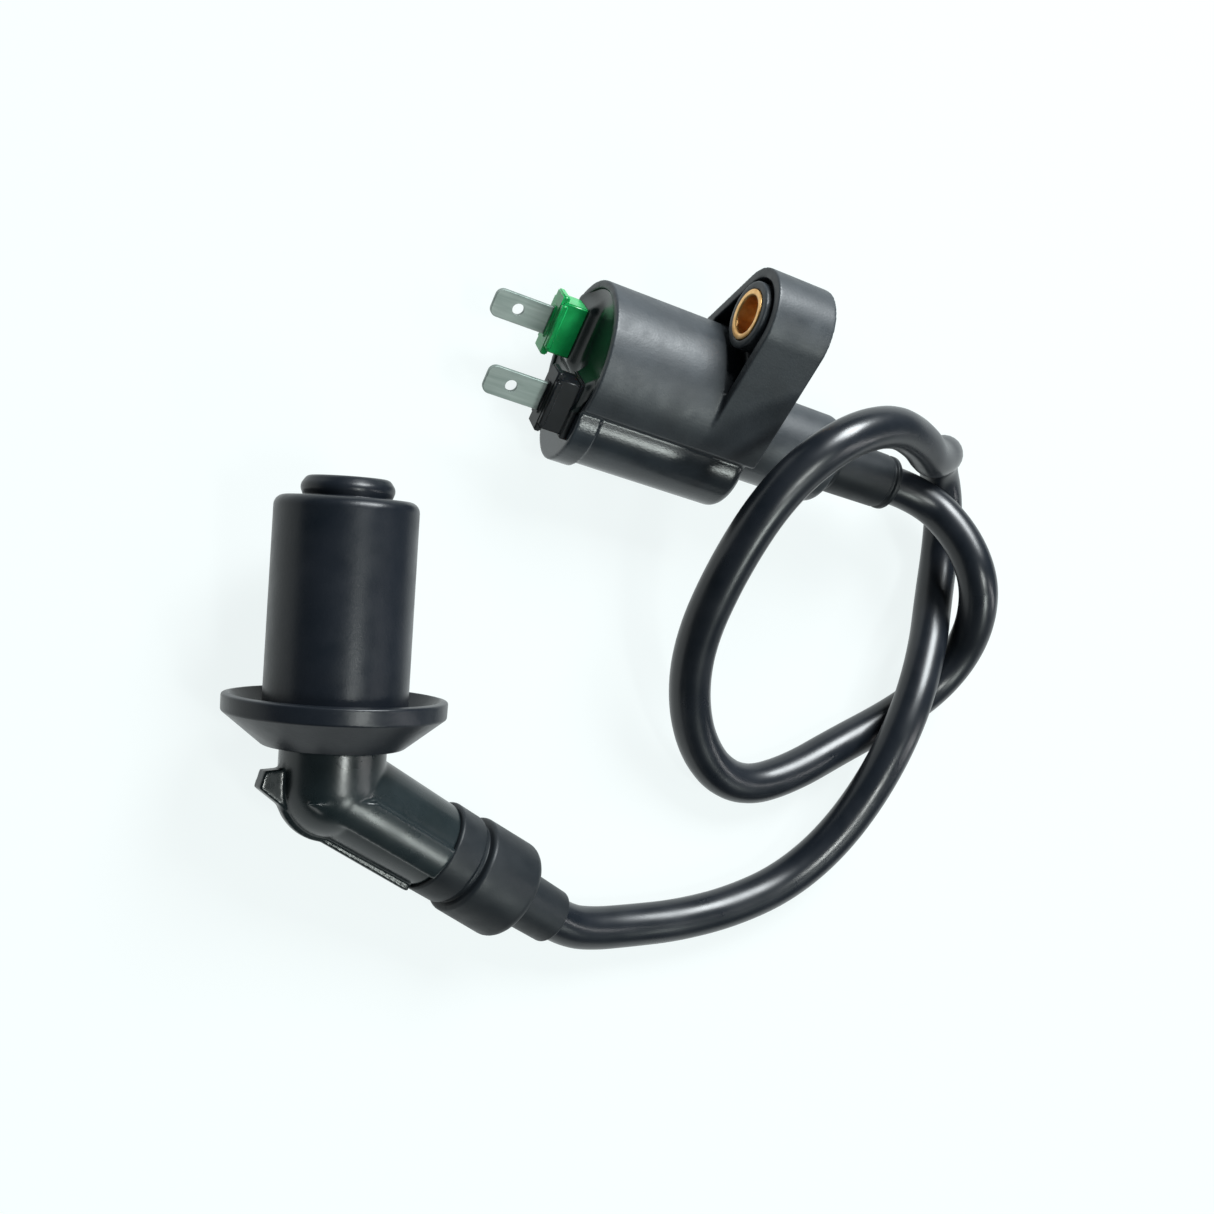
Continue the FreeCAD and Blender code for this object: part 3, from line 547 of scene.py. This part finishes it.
def make_blade(name, node, place):
    """Spade blade: rounded tip corners, stamped hole and softened edges."""
    half, thick = 2.4 * MM, 0.8 * MM
    foot, tip = -6.6 * MM, 15.4 * MM
    hole_x, hole_radius = 11.0 * MM, 1.0 * MM
    sides = 40
    tip_round, edge_round = 1.3 * MM, 0.11 * MM
    outline = soften([(foot, -half), (tip, -half), (tip, half), (foot, half)],
                     [0, tip_round, tip_round, 0], 6)
    bm = bmesh.new()
    outer = [bm.verts.new((x, y, -thick / 2)) for x, y in outline]
    inner = []
    for k in range(sides):
        angle = math.tau * k / sides
        inner.append(bm.verts.new((hole_x + hole_radius * math.cos(angle),
                                   hole_radius * math.sin(angle), -thick / 2)))
    edges = []
    for loop in (outer, inner):
        for k, vertex in enumerate(loop):
            edges.append(bm.edges.new((vertex, loop[(k + 1) % len(loop)])))
    filled = bmesh.ops.triangle_fill(bm, edges=edges, use_beauty=True)
    faces = [item for item in filled["geom"] if isinstance(item, bmesh.types.BMFace)]
    raised = bmesh.ops.extrude_face_region(bm, geom=faces)
    up = [item for item in raised["geom"] if isinstance(item, bmesh.types.BMVert)]
    bmesh.ops.translate(bm, verts=up, vec=(0, 0, thick))
    hole_middle = Vector((hole_x, 0, 0))
    rim = [edge for edge in bm.edges if len(edge.link_faces) == 2
           and edge.calc_face_angle(0) > math.radians(60)
           and (edge.verts[0].co - hole_middle).length > 1.5 * hole_radius]
    bmesh.ops.bevel(bm, geom=rim, offset=edge_round, segments=3, affect="EDGES")
    add_piece(name, mesh_from(bm, name, place), TIN, [node], smooth_angle=40)


def make_collar(name, node, place, material, foot_flange):
    """Collar of a terminal: outer flange with ears, waisted block, perhaps an inner flange."""
    sink, reach = -0.8 * MM, 5.3 * MM
    thick = 1.2 * MM
    boxes = [
        ((reach - thick, -5.2 * MM, -2.2 * MM), (reach, 5.2 * MM, 2.2 * MM)),
        ((reach - thick, -3.9 * MM, -3.0 * MM), (reach - 0.1 * MM, 3.9 * MM, 3.0 * MM)),
        ((sink, -4.4 * MM, -2.7 * MM), (reach - 0.5 * MM, 4.4 * MM, 2.7 * MM)),
        ((reach - 0.5 * MM, -2.9 * MM, -1.0 * MM), (reach + 0.25 * MM, 2.9 * MM, 1.0 * MM)),
    ]
    if foot_flange:
        boxes.append(((sink, -4.9 * MM, -3.1 * MM), (sink + 2.0 * MM, 4.9 * MM, 3.1 * MM)))
    mesh = join_boxes(name, boxes, place, 0.24 * MM)
    add_piece(name, mesh, material, [node], smooth_angle=50)


# ---------------------------------------------------------------- outlet and cap
def make_gland():
    """Gland sleeve with its grip ring and rolled end."""
    root, end, bore = 5.3 * MM, 4.9 * MM, 3.5 * MM
    start, finish = -48.9 * MM, -63.85 * MM
    outline = [
        (start + 6.4 * MM, bore), (start + 6.4 * MM, 4.35 * MM), (start + 0.02 * MM, 4.35 * MM),
        (start, root), (start - 1.4 * MM, root), (start - 1.9 * MM, root - 0.25 * MM),
        (finish + 2.0 * MM, end), (finish + 1.7 * MM, end - 0.3 * MM),
        (finish + 1.3 * MM, end - 0.3 * MM), (finish + 1.0 * MM, end),
        (finish, end), (finish, bore),
    ]
    radii = [0, 0, 0, 0.2, 0.5, 0.5, 0.2, 0.15, 0.15, 0.2, 0.5, 0.3]
    outline = soften(outline, [r * MM for r in radii], 4)
    mesh = lathe("gland_sleeve", outline, along_x(COIL @ Matrix.Translation((0, TOWER_OFFSET, 0))))
    add_piece("gland_sleeve", mesh, SEAL_RUBBER, ["lead_gland"])


def make_elbow():
    """Elbow skin from its CAD shape."""
    skin = moulded_copy("cap_elbow", "elbow_skin", 0.20 * MM, 16)
    add_piece("elbow_skin", skin, MOULDING, ["cap_elbow"], smooth_angle=180)


def make_seal():
    """Lead seal: lip ring, groove, fat ring and nose."""
    outline = [
        (19.5, 6.3), (19.5, 7.35), (24.4, 7.3), (24.9, 6.6), (25.6, 6.6), (25.7, 7.9),
        (36.2, 8.0), (36.4, 4.6), (45.4, 4.4), (45.4, 3.5), (32.9, 3.5), (32.9, 6.3),
    ]
    radii = [0.1, 0.5, 0.6, 0.2, 0.2, 1.3, 1.9, 0.5, 0.5, 0.2, 0, 0]
    outline = soften([(a * MM, r * MM) for a, r in outline], [r * MM for r in radii], 7)
    mesh = lathe("seal_sleeve", outline, along_x(ARM), segments=128)
    add_piece("seal_sleeve", mesh, SEAL_RUBBER, ["lead_seal"])


def make_boot():
    """Rubber boot: dished flange, straight sides and a rolled mouth."""
    outline = [
        (5.6, 6.6), (5.6, 10.3), (10.3, 16.2), (12.7, 16.25), (12.9, 15.2), (10.2, 13.0),
        (8.9, 10.5), (41.6, 10.45), (41.4, 6.3), (43.0, 6.95), (44.5, 5.9), (44.5, 4.6),
        (33.9, 4.6), (33.9, 6.6),
    ]
    radii = [0.2, 0.7, 0.5, 0.35, 0.3, 0.8, 0.6, 1.6, 0.3, 1.4, 1.0, 0.5, 0, 0]
    outline = soften([(a * MM, r * MM) for a, r in outline], [r * MM for r in radii], 8)

    def sag(angle, along, radius):
        """Slight unevenness of soft rubber, none at the bores."""
        bore_side, depth = 7 * MM, 0.05 * MM
        if radius < bore_side:
            return 0.0
        wave = math.sin(3 * angle + 90 * along) + 0.6 * math.sin(5 * angle + 1.3)
        return depth * wave

    mesh = lathe("boot_sleeve", outline, BOOT, segments=160, wobble=sag)
    add_piece("boot_sleeve", mesh, BOOT_RUBBER, ["plug_boot"])


def dress_inside():
    """Finishes of the CAD nodes that stay as they are."""
    finishes = {
        "core_laminations": IRON, "primary_bobbin": BOBBIN, "secondary_bobbin": BOBBIN,
        "primary_winding": COPPER, "secondary_winding": COPPER, "ht_pin": BRASS,
        "ht_contact_strip": BRASS, "lead_end_in_coil": LEAD, "lead_end_in_cap": LEAD,
        "lead_screw": BRASS, "plug_socket": BRASS, "snap_ring": STEEL,
        "resistor": CERAMIC, "contact_spring": STEEL,
    }
    for node, material in finishes.items():
        dress(node, material)


# ---------------------------------------------------------------- floor and light
def area_light(name, place, target, size, power, colour=(1, 1, 1), size_y=None):
    """An area light at place that faces target."""
    data = bpy.data.lights.new(name, "AREA")
    data.energy = power
    data.color = colour
    data.size = size
    if size_y:
        data.shape = "RECTANGLE"
        data.size_y = size_y
    light = bpy.data.objects.new(name, data)
    heading = (Vector(target) - Vector(place)).to_track_quat("-Z", "Y")
    light.matrix_world = Matrix.Translation(place) @ heading.to_matrix().to_4x4()
    bpy.context.scene.collection.objects.link(light)


def make_studio():
    """Pale floor, dim surroundings and soft boxes."""
    floor_half, floor_drop = 3.0, 0.0002
    scene = bpy.context.scene
    scene.view_settings.view_transform = "Standard"
    world = bpy.data.worlds.new("surroundings")
    world.use_nodes = True
    background = world.node_tree.nodes["Background"]
    background.inputs["Color"].default_value = (0.72, 0.88, 1.0, 1)
    background.inputs["Strength"].default_value = 0.06
    scene.world = world
    bm = bmesh.new()
    bmesh.ops.create_grid(bm, x_segments=1, y_segments=1, size=floor_half)
    floor = bpy.data.objects.new("floor", mesh_from(bm, "floor"))
    floor.location.z = -floor_drop
    scene.collection.objects.link(floor)
    paper = Shader("paper", (0.06, 0.062, 0.062), 0.95, specular=0.0)
    paper.bsdf.inputs["Emission Color"].default_value = (0.92, 0.985, 0.985, 1)
    paper.bsdf.inputs["Emission Strength"].default_value = 0.90
    floor.data.materials.append(paper.material)
    middle = (0.0, 0.04, 0.01)
    area_light("key_box", (-0.12, -0.58, 0.66), middle, 0.40, 19.0, (0.93, 0.98, 1.0))
    area_light("side_strip", (-0.62, 0.10, 0.42), middle, 0.05, 0.9, size_y=0.5)
    area_light("low_box", (-0.33, 0.49, 0.58), middle, 0.15, 1.9, (0.92, 1.0, 0.96))
    area_light("over_box", (-0.13, 0.24, 0.77), middle, 0.08, 2.8, (0.95, 1.0, 0.97), size_y=0.16)


make_camera()
lead = make_lead()
make_housing()
make_resin()
make_bush()
make_blade("signal_blade", "signal_terminal", SIGNAL_PLACE)
make_blade("ground_blade", "ground_terminal", GROUND_PLACE)
make_collar("green_collar_block", "green_collar", SIGNAL_PLACE, GREEN, False)
make_collar("black_collar_block", "black_collar", GROUND_PLACE, BLACK, True)
make_gland()
make_elbow()
make_seal()
make_boot()
dress_inside()
make_studio()

CAP_PIECES = [bpy.data.objects[name] for name in ("elbow_skin", "seal_sleeve", "boot_sleeve")]
CAP_PIECES += [frame["nodes"][name] for name in (
    "lead_end_in_cap", "lead_screw", "plug_socket", "snap_ring", "resistor", "contact_spring")]
